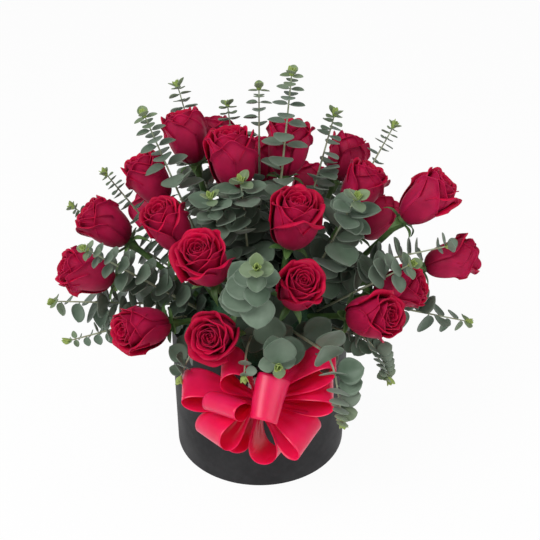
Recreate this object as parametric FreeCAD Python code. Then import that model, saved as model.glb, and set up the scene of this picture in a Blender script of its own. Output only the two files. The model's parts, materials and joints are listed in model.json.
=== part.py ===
"""Round flower box: a black hat box without a lid, a pot of wet foam, roses, eucalyptus and a ribbon bow.

Millimetres, +Z up. The origin is the middle of the underside. The bow is at the front, towards -Y.
Directions of stems are an azimuth, 0 at the front and +90 at the right, and an elevation above level.
"""
import math
import os

from FreeCAD import Placement, Rotation, Vector
import Part

UP = Vector(0, 0, 1)
FRONT = Vector(0, -1, 0)
RIGHT = Vector(1, 0, 0)

# Box: a rolled board tube and a board disc, covered with black paper
BOX_DIAMETER = 160.0
BOX_HEIGHT = 130.0
BOARD = 2.0
BASE_BOARD = 3.0
PAPER = 0.4
PAPER_TURN_IN = 14.0
PAPER_TURN_UNDER = 12.0
GLUE_GAP = 0.05
BASE_CLEARANCE = 0.1

# Liner pot, which lifts out of the box, and the foam block in it
LINER_WALL = 0.8
LINER_CLEARANCE = 0.5
LINER_BELOW_RIM = 4.0
INSERT_LIFT = 135.0
FOAM_CLEARANCE = 0.4
FOAM_DOME_RADIUS = 66.0
FOAM_RISE = 32.0
FOAM_CHAMFER = 18.0
HOLE_CLEARANCE = 0.08
HOLE_END_GAP = 0.3

# Every stem points away from a point on the box's axis, lower for a steep stem than for a level one
AIM_ABOVE_RIM = 12.0
AIM_DROP = 90.0

# Cut roses
ROSE_STEM_RADIUS = 2.7
ROSE_INSERTION = 30.0
ROSE_PULL = 25.0
CALYX_HEIGHT = 7.0
CALYX_RADIUS = 5.5
SEPALS = 5
SEPAL_REACH = 12.0
SEPAL_THICKNESS = 0.8
PETAL_THICKNESS = 1.2
PETAL_GAP = 0.5
PETAL_PARTING = 5.0
CORE_FOOT_RADIUS = 2.6
CORE_DIP = 3.0
SHOULDER_HEIGHT = 0.55
WAIST_HEIGHT = 0.22
WAIST_WIDTH = 0.74
TIP_ROUNDING = 1.15
ZONE_FOOT = 0.7
ZONE_TOP = 0.4

# Petal rings from the middle out: petals, shoulder, lip and top, as shares of the head's radius and height
CORE_RING = (0.38, 0.24, 0.96)
PETAL_RINGS = [
    (3, 0.56, 0.50, 1.00),
    (3, 0.75, 0.73, 0.98),
    (5, 0.94, 1.00, 0.90),
]

# One row per rose: azimuth, elevation, reach from aim point to the head's middle, head diameter, head height
ROSES = [
    (-122, 72, 238, 42, 46),
    (-100, 63, 209, 43, 46),
    (-104, 84, 229, 47, 50),
    (176, 70, 203, 42, 44),
    (136, 81, 231, 43, 48),
    (135, 57, 206, 40, 44),
    (102, 63, 199, 40, 44),
    (85, 49, 212, 46, 50),
    (-88, 44, 181, 43, 46),
    (-74, 27, 166, 42, 46),
    (-61, 64, 190, 42, 46),
    (-28, 60, 178, 49, 46),
    (32, 74, 196, 50, 50),
    (19, 53, 156, 41, 44),
    (-50, 15, 126, 43, 46),
    (-18, 26, 119, 46, 46),
    (49, 23, 130, 43, 46),
    (72, 22, 134, 41, 44),
    (93, 15, 177, 44, 48),
    (-158, 58, 214, 42, 44),
    (-132, 24, 150, 43, 46),
    (-169, 34, 156, 43, 46),
    (158, 36, 158, 43, 46),
    (124, 26, 150, 43, 46),
]

# Eucalyptus: stems with pairs of round leaves, each pair turned a quarter from the last
SPRIG_RADIUS = 1.3
SPRIG_INSERTION = 24.0
SPRIG_BARE = 12.0
DROOP_RADIUS = 22.0
LEAF_THICKNESS = 0.7
LEAF_SEAT = 0.3
LEAF_BREADTH = 0.92
LEAF_PITCH = 0.62
LEAF_PITCH_LEAST = 4.6
LEAF_TIP_SIZE = 0.34
LEAF_FULL_AT = 0.5
LEAF_LEAN = 14.0
LEAF_TIP_LEAN = 48.0
LEAF_CLEARANCE = 1.6
LEAF_SPACING = 2.8
LEAF_TEST_STEP = 4.0
FACING_DROOP = 40.0
FACING_ELEVATION = 20.0
FACING_TURN = 0.5
FACING_LEAN = 6.0
FACING_RISE = 45.0
FACING_LEAST = 0.5

# One row per straight sprig: azimuth, elevation, length from aim point to tip, leaf length
STRAIGHT_SPRIGS = [
    (84, 85, 302, 21),
    (180, 80, 276, 20),
    (112, 75, 262, 20),
    (-142, 64, 272, 22),
    (-83, 71, 276, 22),
    (-101, 52, 218, 14),
    (-108, 26, 200, 14),
    (-60, 42, 204, 18),
    (-81, 7, 180, 26),
    (-160, 71, 254, 20),
    (115, 59, 250, 16),
    (-20, 80, 226, 24),
    (58, 66, 220, 28),
    (61, 40, 178, 24),
    (0, 50, 220, 26),
    (-38, 74, 218, 20),
    (170, 10, 180, 26),
    (-150, 44, 218, 22),
    (146, 44, 205, 22),
    (7, 12, 130, 24),
]

# One row per drooping sprig: azimuth, elevation, bend start past the rim, droop, tail, leaf length
DROOPING_SPRIGS = [
    (-67, 5, 30, 8, 58, 12),
    (78, 46, 14, 26, 60, 26),
    (25, 14, 37, 84, 32, 24),
    (-5, 16, 16, 55, 10, 16),
    (-35, 2, 8, 60, 8, 16),
    (57, 2, 18, 62, 26, 14),
    (92, 0, 20, 14, 88, 24),
]

# Bow: ribbon loops gathered on a tie, glued to the box's front with a pad
BOW_BELOW_RIM = 18.0
RIBBON_WIDTH = 36.0
RIBBON_THICKNESS = 0.5
RIBBON_GATHER = 8.0
GATHER_LENGTH = 26.0
LOOP_FOOT = 1.6
LOOP_SEAT = 0.3
TIE_RADIUS = 5.0
PAD_RADIUS = 9.0
PAD_DEPTH = 2.0

# One row per loop: angle seen from the front with 0 at the right, lift towards the viewer, length, opening,
# twist about its own length, depth of its foot on the tie
LOOPS = [
    (168, 0, 58, 17, 0, 18),
    (122, 2, 42, 20, 0, 18),
    (36, 0, 70, 16, 0, 18),
    (8, 2, 56, 18, 0, 18),
    (-26, 28, 44, 20, -22, 26),
    (-73, 24, 42, 24, -16, 18),
    (-122, 4, 40, 20, 0, 18),
    (-163, 36, 42, 20, 0, 25),
    (147, 38, 37, 15, -34, 29),
    (71, 46, 33, 24, 0, 29),
]

BOX_RADIUS = BOX_DIAMETER / 2
TUBE_OUTSIDE = BOX_RADIUS - PAPER - GLUE_GAP
TUBE_INSIDE = TUBE_OUTSIDE - BOARD
LINING_RADIUS = TUBE_INSIDE - GLUE_GAP - PAPER
BASE_TOP = 2 * PAPER + BASE_BOARD
LINER_OUTSIDE = LINING_RADIUS - LINER_CLEARANCE
FOAM_RADIUS = LINER_OUTSIDE - LINER_WALL - FOAM_CLEARANCE
FOAM_FLOOR = BASE_TOP + LINER_WALL
FOAM_TOP = BOX_HEIGHT + FOAM_RISE
FOAM_STEP = BOX_HEIGHT - LINER_BELOW_RIM
AIM_HEIGHT = BOX_HEIGHT + AIM_ABOVE_RIM
BOW_FACE = BOX_RADIUS + PAD_DEPTH
BOW_HEIGHT = BOX_HEIGHT - BOW_BELOW_RIM


def direction(azimuth, elevation):
    """Unit vector of a direction given in degrees."""
    turn = math.radians(azimuth)
    rise = math.radians(elevation)
    return Vector(math.sin(turn) * math.cos(rise), -math.cos(turn) * math.cos(rise), math.sin(rise))


def aim_point(elevation):
    """Point on the box's axis that a stem of this elevation leads away from."""
    rise = max(0.0, math.sin(math.radians(elevation)))
    return Vector(0, 0, AIM_HEIGHT - AIM_DROP * rise ** 2)


def foam_exit(elevation):
    """Distance from the aim point to where a stem comes out of the foam's dome."""
    level = math.cos(math.radians(elevation))
    rise = math.sin(math.radians(elevation))
    depth = FOAM_TOP - aim_point(elevation).z
    ways = [FOAM_DOME_RADIUS / level, (FOAM_DOME_RADIUS + depth - FOAM_CHAMFER) / (level + rise)]
    if rise > 0:
        ways.append(depth / rise)
    return min(ways)


def revolved(outline):
    """Solid of revolution about Z of a closed outline of (radius, height) corners."""
    corners = [Vector(radius, 0, height) for radius, height in outline]
    wire = Part.makePolygon(corners + corners[:1])
    return Part.Face(wire).revolve(Vector(), UP, 360)


def distance_to_segment(point, start, end):
    """Distance from a point to a straight segment."""
    run = end - start
    share = (point - start).dot(run) / run.dot(run)
    nearest = start + run * min(1.0, max(0.0, share))
    return (point - nearest).Length


# Box

def box_tube():
    """Rolled board tube that forms the wall."""
    bottom = 2 * PAPER
    top = BOX_HEIGHT - PAPER
    return revolved([
        (TUBE_INSIDE, bottom),
        (TUBE_OUTSIDE, bottom),
        (TUBE_OUTSIDE, top),
        (TUBE_INSIDE, top),
    ])


def box_base():
    """Board disc inside the foot of the tube."""
    return Part.makeCylinder(TUBE_INSIDE - BASE_CLEARANCE, BASE_BOARD, Vector(0, 0, 2 * PAPER))


def outer_wrap():
    """Black paper over the wall, turned in over the rim and turned under the base."""
    inside = BOX_RADIUS - PAPER
    return revolved([
        (inside - PAPER_TURN_UNDER, PAPER),
        (BOX_RADIUS, PAPER),
        (BOX_RADIUS, BOX_HEIGHT),
        (LINING_RADIUS, BOX_HEIGHT),
        (LINING_RADIUS, BOX_HEIGHT - PAPER_TURN_IN),
        (LINING_RADIUS + PAPER, BOX_HEIGHT - PAPER_TURN_IN),
        (LINING_RADIUS + PAPER, BOX_HEIGHT - PAPER),
        (inside, BOX_HEIGHT - PAPER),
        (inside, 2 * PAPER),
        (inside - PAPER_TURN_UNDER, 2 * PAPER),
    ])


def base_cover():
    """Paper disc glued under the base, which the box stands on."""
    return Part.makeCylinder(TUBE_OUTSIDE, PAPER)


def liner():
    """Thin plastic pot that keeps the board dry."""
    top = BOX_HEIGHT - LINER_BELOW_RIM
    inside = LINER_OUTSIDE - LINER_WALL
    return revolved([
        (0, BASE_TOP),
        (LINER_OUTSIDE, BASE_TOP),
        (LINER_OUTSIDE, top),
        (inside, top),
        (inside, BASE_TOP + LINER_WALL),
        (0, BASE_TOP + LINER_WALL),
    ])


def stem_hole(stem_end, axis, exit_point, radius):
    """Cylinder that a stem's hole in the foam is cut with."""
    start = stem_end - axis * HOLE_END_GAP
    length = (exit_point - start).Length + FOAM_CHAMFER
    return Part.makeCylinder(radius + HOLE_CLEARANCE, length, start, axis)


def foam(holes):
    """Wet foam block: it fills the liner and rises above the rim as a smaller chamfered dome."""
    block = revolved([
        (0, FOAM_FLOOR),
        (FOAM_RADIUS, FOAM_FLOOR),
        (FOAM_RADIUS, FOAM_STEP),
        (FOAM_DOME_RADIUS, FOAM_STEP),
        (FOAM_DOME_RADIUS, FOAM_TOP - FOAM_CHAMFER),
        (FOAM_DOME_RADIUS - FOAM_CHAMFER, FOAM_TOP),
        (0, FOAM_TOP),
    ])
    return block.cut(holes)


# Roses

class Rose:
    """Places of one rose along its stem's axis."""

    def __init__(self, azimuth, elevation, reach, diameter, height):
        aim = aim_point(elevation)
        way_out = foam_exit(elevation)
        self.axis = direction(azimuth, elevation)
        self.radius = diameter / 2
        self.height = height
        self.base = aim + self.axis * (reach - height / 2)
        self.top = self.base + self.axis * height
        self.exit = aim + self.axis * way_out
        self.stem_end = aim + self.axis * (way_out - ROSE_INSERTION)
        self.spin = azimuth + elevation

    def zones(self):
        """Capsules (start, end, radius) that the rose fills at rest and while it is pulled."""
        foot = self.base + self.axis * (self.radius * ZONE_FOOT)
        top = self.top + self.axis * (ROSE_PULL - self.radius * ZONE_TOP)
        hip = (self.base - self.axis * CALYX_HEIGHT, self.base, CALYX_RADIUS)
        return [(self.stem_end, self.base, ROSE_STEM_RADIUS), hip, (foot, top, self.radius)]


def curve(points):
    """Smooth edge through (radius, height) points."""
    spline = Part.BSplineCurve()
    spline.interpolate([Vector(radius, 0, height) for radius, height in points])
    return spline.toShape()


def line(start, end):
    """Straight edge between two (radius, height) points."""
    return Part.LineSegment(Vector(start[0], 0, start[1]), Vector(end[0], 0, end[1])).toShape()


def ring_profile(foot, shoulder, lip, top):
    """Outside of a petal ring from its foot to its lip."""
    waist = (WAIST_WIDTH * shoulder, WAIST_HEIGHT * top)
    return [(foot, 0), waist, (shoulder, SHOULDER_HEIGHT * top), (lip, top)]


def petal_tip(top, rounding):
    """Block with a round top that a petal along +X is trimmed to."""
    below = Vector(0, -rounding, -PETAL_GAP)
    shoulder = Vector(0, -rounding, top - rounding)
    other_shoulder = Vector(0, rounding, shoulder.z)
    other_below = Vector(0, rounding, below.z)
    outline = Part.Wire([
        Part.LineSegment(below, shoulder).toShape(),
        Part.Arc(shoulder, Vector(0, 0, top), other_shoulder).toShape(),
        Part.LineSegment(other_shoulder, other_below).toShape(),
        Part.LineSegment(other_below, below).toShape(),
    ])
    return Part.Face(outline).extrude(RIGHT * (2 * rounding))


def petal(profile, span, rounding):
    """One cupped petal: a shell of revolution of a given span, rounded at the tip."""
    inside = [(radius - PETAL_THICKNESS, height) for radius, height in profile]
    edges = [
        curve(profile),
        line(profile[-1], inside[-1]),
        curve(inside[::-1]),
        line(inside[0], profile[0]),
    ]
    shell = Part.Face(Part.Wire(edges)).revolve(Vector(), UP, span)
    shell.rotate(Vector(), UP, -span / 2)
    return shell.common(petal_tip(profile[-1][1], rounding)).Solids[0]


def core(radius, height):
    """Furled middle of the rose."""
    shoulder, lip, top = CORE_RING
    profile = ring_profile(CORE_FOOT_RADIUS, shoulder * radius, lip * radius, top * height)
    dip = (0, profile[-1][1] - CORE_DIP)
    edges = [
        curve(profile),
        line(profile[-1], dip),
        line(dip, (0, 0)),
        line((0, 0), profile[0]),
    ]
    return Part.Face(Part.Wire(edges)).revolve(Vector(), UP, 360)


def petals(radius, height):
    """All petals of one rose, ring by ring from the middle out."""
    shapes = []
    foot = CORE_FOOT_RADIUS
    for ring, (count, shoulder, lip, top) in enumerate(PETAL_RINGS):
        foot += PETAL_THICKNESS + PETAL_GAP
        profile = ring_profile(foot, shoulder * radius, lip * radius, top * height)
        span = 360 / count - PETAL_PARTING
        for number in range(count):
            shape = petal(profile, span, TIP_ROUNDING * shoulder * radius)
            shape.rotate(Vector(), UP, 360 * (number + ring / 2) / count)
            shapes.append(shape)
    return shapes


def calyx():
    """Green hip with its star of sepals, just under the petals."""
    star_bottom = -PETAL_GAP - SEPAL_THICKNESS
    bottom = Vector(0, 0, -CALYX_HEIGHT)
    hip = Part.makeCone(ROSE_STEM_RADIUS, CALYX_RADIUS, CALYX_HEIGHT + star_bottom, bottom)
    corners = []
    for corner in range(2 * SEPALS):
        angle = math.pi * corner / SEPALS
        radius = SEPAL_REACH if corner % 2 == 0 else CALYX_RADIUS
        corners.append(Vector(radius * math.cos(angle), radius * math.sin(angle), star_bottom))
    star = Part.Face(Part.makePolygon(corners + corners[:1])).extrude(Vector(0, 0, SEPAL_THICKNESS))
    return hip.fuse(star).removeSplitter()


def rose_shape(rose):
    """Stem, calyx, core and petals of one rose in place."""
    length = (rose.base - rose.stem_end).Length
    stem = Part.makeCylinder(ROSE_STEM_RADIUS, length - CALYX_HEIGHT, Vector(0, 0, -length))
    head = [stem, calyx(), core(rose.radius, rose.height)] + petals(rose.radius, rose.height)
    shape = Part.makeCompound(head)
    turn = Rotation(UP, rose.axis).multiply(Rotation(UP, rose.spin))
    shape.Placement = Placement(rose.base, turn)
    return shape


# Eucalyptus

class Sprig:
    """Path of one sprig's stem: a straight run, and on a drooping sprig a bend and a straight tail."""

    def __init__(self, azimuth, elevation, length, leaf, bend_at=None, droop=0.0):
        aim = aim_point(elevation)
        way_out = foam_exit(elevation)
        self.leaf = leaf
        self.turn = azimuth
        self.axis = direction(azimuth, elevation)
        self.exit = aim + self.axis * way_out
        self.start = aim + self.axis * (way_out - SPRIG_INSERTION)
        self.bare = SPRIG_INSERTION + SPRIG_BARE
        self.droop = math.radians(droop)
        self.facing = droop > FACING_DROOP or elevation < FACING_ELEVATION
        self.side = direction(azimuth + 90, 0)
        run = length - way_out if bend_at is None else bend_at - way_out
        self.first_run = SPRIG_INSERTION + run
        self.tail = 0.0 if bend_at is None else length

    def length(self):
        """Whole length of the stem."""
        return self.first_run + DROOP_RADIUS * self.droop + self.tail

    def tangent(self, angle):
        """Direction of the stem after it has bent down by an angle in radians."""
        return Rotation(self.side, math.degrees(angle)).multVec(self.axis)

    def at(self, distance):
        """Point and direction at a distance along the stem."""
        bend = DROOP_RADIUS * self.droop
        if distance <= self.first_run or bend == 0:
            return self.start + self.axis * distance, self.axis
        bend_start = self.start + self.axis * self.first_run
        centre = bend_start - self.axis.cross(self.side) * DROOP_RADIUS
        angle = min(distance - self.first_run, bend) / DROOP_RADIUS
        spoke = Rotation(self.side, math.degrees(angle)).multVec(bend_start - centre)
        along = self.tangent(angle)
        rest = max(0.0, distance - self.first_run - bend)
        return centre + spoke + along * rest, along

    def leaf_lean(self, growth):
        """Lean of a leaf towards the stem's tip, in degrees, less for a leaf that is fully grown."""
        if self.facing:
            return FACING_LEAN
        return LEAF_TIP_LEAN + (LEAF_LEAN - LEAF_TIP_LEAN) * growth

    def leaf_normal(self, normal, along):
        """Way that a blade faces: on a level or hanging sprig the leaves turn up, out and to the front."""
        if not self.facing:
            return normal
        outside = direction(self.turn * FACING_TURN, FACING_RISE)
        square = outside - along * outside.dot(along)
        return square.normalize() if square.Length > FACING_LEAST else normal

    def corners(self):
        """Points along the stem that stand for it in clearance tests."""
        if self.droop == 0:
            return [self.start, self.at(self.length())[0]]
        bend = DROOP_RADIUS * self.droop
        places = [0, self.first_run, self.first_run + bend / 2, self.first_run + bend, self.length()]
        return [self.at(place)[0] for place in places]


def all_sprigs():
    """Every sprig, the straight ones first."""
    sprigs = [Sprig(*row) for row in STRAIGHT_SPRIGS]
    for azimuth, elevation, past_rim, droop, tail, leaf in DROOPING_SPRIGS:
        bend_at = (BOX_RADIUS + past_rim) / math.cos(math.radians(elevation))
        sprigs.append(Sprig(azimuth, elevation, tail, leaf, bend_at, droop))
    return sprigs


def sprig_stem(sprig):
    """Round stem along a sprig's path."""
    if sprig.droop == 0:
        return Part.makeCylinder(SPRIG_RADIUS, sprig.length(), sprig.start, sprig.axis)
    bend = DROOP_RADIUS * sprig.droop
    middle = sprig.at(sprig.first_run + bend / 2)[0]
    bend_start = sprig.at(sprig.first_run)[0]
    bend_end = sprig.at(sprig.first_run + bend)[0]
    path = Part.Wire([
        Part.LineSegment(sprig.start, bend_start).toShape(),
        Part.Arc(bend_start, middle, bend_end).toShape(),
        Part.LineSegment(bend_end, sprig.at(sprig.length())[0]).toShape(),
    ])
    circle = Part.Wire(Part.makeCircle(SPRIG_RADIUS, sprig.start, sprig.axis))
    return path.makePipeShell([circle], True, False)


class Leaf:
    """Flat oval leaf: its middle, its axes along, across and square to the blade, and its length."""

    def __init__(self, foot, along, normal, length):
        self.length = length
        self.along = along
        self.normal = normal
        self.across = normal.cross(along)
        self.middle = foot + along * (length / 2)

    def points(self):
        """Points over the blade, in rings about a set step apart."""
        rings = max(2, math.ceil(self.length / 2 / LEAF_TEST_STEP))
        spots = [self.middle]
        for ring in range(1, rings + 1):
            count = 6 * ring
            for step in range(count):
                angle = 2 * math.pi * step / count
                reach = self.length / 2 * ring / rings
                spots.append(
                    self.middle
                    + self.along * (reach * math.cos(angle))
                    + self.across * (reach * LEAF_BREADTH * math.sin(angle))
                )
        return spots

    def shape(self):
        """Thin oval plate in place."""
        oval = Part.Ellipse(Vector(), self.length / 2, LEAF_BREADTH * self.length / 2).toShape()
        plate = Part.Face(Part.Wire(oval)).extrude(UP * LEAF_THICKNESS)
        turn = Rotation(self.along, self.across, self.normal, "ZXY")
        plate.Placement = Placement(self.middle - self.normal * (LEAF_THICKNESS / 2), turn)
        return plate


def leaf_pairs(sprig):
    """Pairs of leaves of one sprig from its tip down to its bare foot."""
    whole = sprig.length()
    leafy = whole - sprig.bare
    distance = whole - SPRIG_RADIUS
    number = 0
    while distance > sprig.bare:
        from_tip = (whole - distance) / leafy
        growth = min(1.0, from_tip / LEAF_FULL_AT)
        size = sprig.leaf * (LEAF_TIP_SIZE + (1 - LEAF_TIP_SIZE) * growth)
        lean = math.radians(sprig.leaf_lean(growth))
        point, stem_way = sprig.at(distance)
        across = sprig.side if number % 2 else stem_way.cross(sprig.side)
        across = Rotation(stem_way, sprig.turn).multVec(across)
        seat = (SPRIG_RADIUS + LEAF_SEAT + LEAF_THICKNESS / 2 * math.sin(lean)) / math.cos(lean)
        pair = []
        for side in (across, -across):
            along = side * math.cos(lean) + stem_way * math.sin(lean)
            normal = sprig.leaf_normal(stem_way * math.cos(lean) - side * math.sin(lean), along)
            pair.append(Leaf(point + along * seat, along, normal, size))
        yield pair
        distance -= max(LEAF_PITCH_LEAST, LEAF_PITCH * size)
        number += 1


class Room:
    """Space that leaves must stay out of: a leaf that would touch something is stripped from its stem."""

    def __init__(self, roses, sprigs, loops):
        self.loops = loops
        self.zones = [zone for rose in roses for zone in rose.zones()]
        self.stems = [(sprig, sprig.corners()) for sprig in sprigs]
        self.cells = {}

    def cell(self, point):
        """Grid cell of a point."""
        return tuple(math.floor(value / LEAF_SPACING) for value in point)

    def gap(self, point, zone):
        """Distance from a point to a capsule, less the clearance."""
        start, end, radius = zone
        return distance_to_segment(point, start, end) - radius - LEAF_CLEARANCE

    def near_leaf(self, point):
        """Whether a leaf already stands within the spacing of a point."""
        x, y, z = self.cell(point)
        for dx in (-1, 0, 1):
            for dy in (-1, 0, 1):
                for dz in (-1, 0, 1):
                    for other in self.cells.get((x + dx, y + dy, z + dz), ()):
                        if (other - point).Length < LEAF_SPACING:
                            return True
        return False

    def near_box(self, point):
        """Whether a point is too close to the box or the foam."""
        radius = math.hypot(point.x, point.y)
        if point.z < BOX_HEIGHT + LEAF_CLEARANCE and radius < BOX_RADIUS + LEAF_CLEARANCE:
            return True
        return point.z < FOAM_TOP + LEAF_CLEARANCE and radius < FOAM_DOME_RADIUS + LEAF_CLEARANCE

    def near_bow(self, point):
        """Whether a point is too close to the bow, or comes too close when the insert is lifted."""
        if point.y > LEAF_CLEARANCE - BOX_RADIUS:
            return False
        steps = math.ceil(INSERT_LIFT / LEAF_TEST_STEP)
        for step in range(steps + 1):
            raised = point + UP * (INSERT_LIFT * step / steps)
            if any(loop.holds(raised, LEAF_CLEARANCE) for loop in self.loops):
                return True
        return False

    def is_clear(self, leaf, own_sprig):
        """Whether a leaf stays clear of everything placed so far."""
        near = []
        for sprig, corners in self.stems:
            if sprig is not own_sprig:
                near += [(start, end, SPRIG_RADIUS) for start, end in zip(corners, corners[1:])]
        near = [zone for zone in self.zones + near if self.gap(leaf.middle, zone) < leaf.length / 2]
        for point in leaf.points():
            if self.near_box(point) or self.near_bow(point) or self.near_leaf(point):
                return False
            if any(self.gap(point, zone) < 0 for zone in near):
                return False
        return True

    def add(self, leaf):
        """Marks the space of a leaf as taken."""
        for point in leaf.points():
            self.cells.setdefault(self.cell(point), []).append(point)


def sprig_shape(sprig, room):
    """Stem of a sprig with the leaves that have room."""
    shapes = [sprig_stem(sprig)]
    for pair in leaf_pairs(sprig):
        kept = [leaf for leaf in pair if room.is_clear(leaf, sprig)]
        for leaf in kept:
            room.add(leaf)
            shapes.append(leaf.shape())
    return Part.makeCompound(shapes)


# Bow

def hairpin(length, opening, inset):
    """Edges of one side of a ribbon loop's outline: out along a line, round an arc and back."""
    foot = LOOP_FOOT / 2 - inset
    radius = opening / 2 - inset
    centre = Vector(length - opening / 2, 0, 0)
    start = Vector(0, foot, 0)
    reach = (centre - start).Length
    slope = math.atan2(-foot, centre.x) + math.asin(radius / reach)
    touch = start + Vector(math.cos(slope), math.sin(slope), 0) * math.sqrt(reach ** 2 - radius ** 2)
    mirrored = Vector(touch.x, -touch.y, 0)
    tip = Vector(length - inset, 0, 0)
    return [
        Part.LineSegment(start, touch).toShape(),
        Part.Arc(touch, tip, mirrored).toShape(),
        Part.LineSegment(mirrored, Vector(0, -foot, 0)).toShape(),
    ]


def ribbon_loop(length, opening):
    """Loop of ribbon along +X, gathered at its foot, with its width along Z."""
    outside = hairpin(length, opening, 0)
    inside = hairpin(length, opening, RIBBON_THICKNESS)
    ends = []
    for side in (1, -1):
        outer_foot = Vector(0, side * LOOP_FOOT / 2, 0)
        inner_foot = Vector(0, side * (LOOP_FOOT / 2 - RIBBON_THICKNESS), 0)
        ends.append(Part.LineSegment(outer_foot, inner_foot).toShape())
    outline = Part.Wire(Part.__sortEdges__(outside + inside + ends))
    band = Part.Face(outline).extrude(UP * RIBBON_WIDTH)
    band.translate(UP * (-RIBBON_WIDTH / 2))
    half = RIBBON_WIDTH / 2
    side = [
        Vector(-RIBBON_THICKNESS, -opening, -RIBBON_GATHER / 2),
        Vector(GATHER_LENGTH, -opening, -half),
        Vector(length + opening, -opening, -half),
        Vector(length + opening, -opening, half),
        Vector(GATHER_LENGTH, -opening, half),
        Vector(-RIBBON_THICKNESS, -opening, RIBBON_GATHER / 2),
    ]
    gather = Part.Face(Part.makePolygon(side + side[:1])).extrude(Vector(0, 2 * opening, 0))
    return band.common(gather).Solids[0]


class Loop:
    """One ribbon loop in place: its foot on the tie, and its axes along, across and along its width."""

    def __init__(self, angle, lift, length, opening, twist, depth):
        turn = math.radians(angle)
        rise = math.radians(lift)
        lean = math.radians(twist)
        radial = RIGHT * math.cos(turn) + UP * math.sin(turn)
        level = FRONT * math.cos(rise) - radial * math.sin(rise)
        self.length = length
        self.opening = opening
        self.along = radial * math.cos(rise) + FRONT * math.sin(rise)
        self.width = level * math.cos(lean) + level.cross(self.along) * math.sin(lean)
        self.across = self.width.cross(self.along)
        half_width = RIBBON_GATHER / 2 * abs(self.width.dot(radial))
        half_foot = LOOP_FOOT / 2 * abs(self.across.dot(radial))
        self.foot = bow_point(depth) + radial * (TIE_RADIUS + LOOP_SEAT + half_width + half_foot)

    def holds(self, point, clearance):
        """Whether a point is in the box around the loop, or within a clearance of it."""
        way = point - self.foot
        return (
            -clearance < way.dot(self.along) < self.length + clearance
            and abs(way.dot(self.across)) < self.opening / 2 + clearance
            and abs(way.dot(self.width)) < RIBBON_WIDTH / 2 + clearance
        )

    def shape(self):
        """The loop of ribbon in place."""
        shape = ribbon_loop(self.length, self.opening)
        shape.Placement = Placement(self.foot, Rotation(self.along, self.across, self.width, "ZXY"))
        return shape


def bow_point(depth):
    """Point on the bow's axis at a depth in front of its pad."""
    return Vector(0, -BOW_FACE - depth, BOW_HEIGHT)


def bow_tie():
    """Tie that gathers the loops."""
    length = max(depth for *_, depth in LOOPS) + RIBBON_GATHER / 2
    return Part.makeCylinder(TIE_RADIUS, length, bow_point(0), FRONT)


def bow_pad():
    """Adhesive pad between the tie and the curved wall."""
    pad = Part.makeCylinder(PAD_RADIUS, BOW_FACE, Vector(0, 0, BOW_HEIGHT), FRONT)
    return pad.cut(Part.makeCylinder(BOX_RADIUS + GLUE_GAP, BOX_HEIGHT))


def main():
    """Builds every node and writes it to parts/."""
    roses = [Rose(*row) for row in ROSES]
    sprigs = all_sprigs()
    loops = [Loop(*row) for row in LOOPS]
    holes = [stem_hole(rose.stem_end, rose.axis, rose.exit, ROSE_STEM_RADIUS) for rose in roses]
    holes += [stem_hole(sprig.start, sprig.axis, sprig.exit, SPRIG_RADIUS) for sprig in sprigs]
    nodes = {
        "box_tube": box_tube(),
        "box_base": box_base(),
        "outer_wrap": outer_wrap(),
        "base_cover": base_cover(),
        "liner": liner(),
        "foam": foam(holes),
        "ribbon_bow": Part.makeCompound([loop.shape() for loop in loops]),
        "bow_tie": bow_tie(),
        "bow_pad": bow_pad(),
    }
    for number, rose in enumerate(roses, 1):
        nodes[f"rose_{number:02d}"] = rose_shape(rose)
    room = Room(roses, sprigs, loops)
    for number, sprig in enumerate(sprigs, 1):
        nodes[f"eucalyptus_{number:02d}"] = sprig_shape(sprig, room)
    os.makedirs("parts", exist_ok=True)
    for name, shape in nodes.items():
        shape.exportStep(f"parts/{name}.step")
        state = "valid" if shape.isValid() else "INVALID"
        print(name, len(shape.Solids), "solids", round(shape.Volume), "mm3", state)


main()
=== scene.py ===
"""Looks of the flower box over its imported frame. Metres, +Z up, front at -Y."""

import json
import math

import bpy
import numpy as np
from mathutils import Matrix, Vector


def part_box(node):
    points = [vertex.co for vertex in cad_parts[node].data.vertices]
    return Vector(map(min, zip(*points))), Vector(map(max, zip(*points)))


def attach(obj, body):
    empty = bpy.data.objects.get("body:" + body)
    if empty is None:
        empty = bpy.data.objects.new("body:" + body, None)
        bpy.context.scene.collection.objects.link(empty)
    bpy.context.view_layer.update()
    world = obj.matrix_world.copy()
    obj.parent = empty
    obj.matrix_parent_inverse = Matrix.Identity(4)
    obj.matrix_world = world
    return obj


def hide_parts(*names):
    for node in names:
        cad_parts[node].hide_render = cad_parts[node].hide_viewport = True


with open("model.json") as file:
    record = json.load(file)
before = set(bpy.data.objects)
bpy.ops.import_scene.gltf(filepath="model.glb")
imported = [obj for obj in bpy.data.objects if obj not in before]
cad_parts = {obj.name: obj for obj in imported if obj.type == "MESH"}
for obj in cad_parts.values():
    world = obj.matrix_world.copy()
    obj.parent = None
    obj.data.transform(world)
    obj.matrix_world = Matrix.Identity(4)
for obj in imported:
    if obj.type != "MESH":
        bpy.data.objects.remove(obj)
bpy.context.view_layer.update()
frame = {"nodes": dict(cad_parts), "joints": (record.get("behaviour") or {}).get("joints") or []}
MM = 0.001
UP = np.array([0.0, 0.0, 1.0])

# Rose petals
PETALS = 32
PETAL_ACROSS = 19
PETAL_UP = 18
PETAL_THICKNESS = 0.4 * MM
GOLDEN_ANGLE = math.radians(137.5)
LIP_STARTS = 0.74
OUTER_FROM = 0.68
ROSE_SEED = 100

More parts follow.
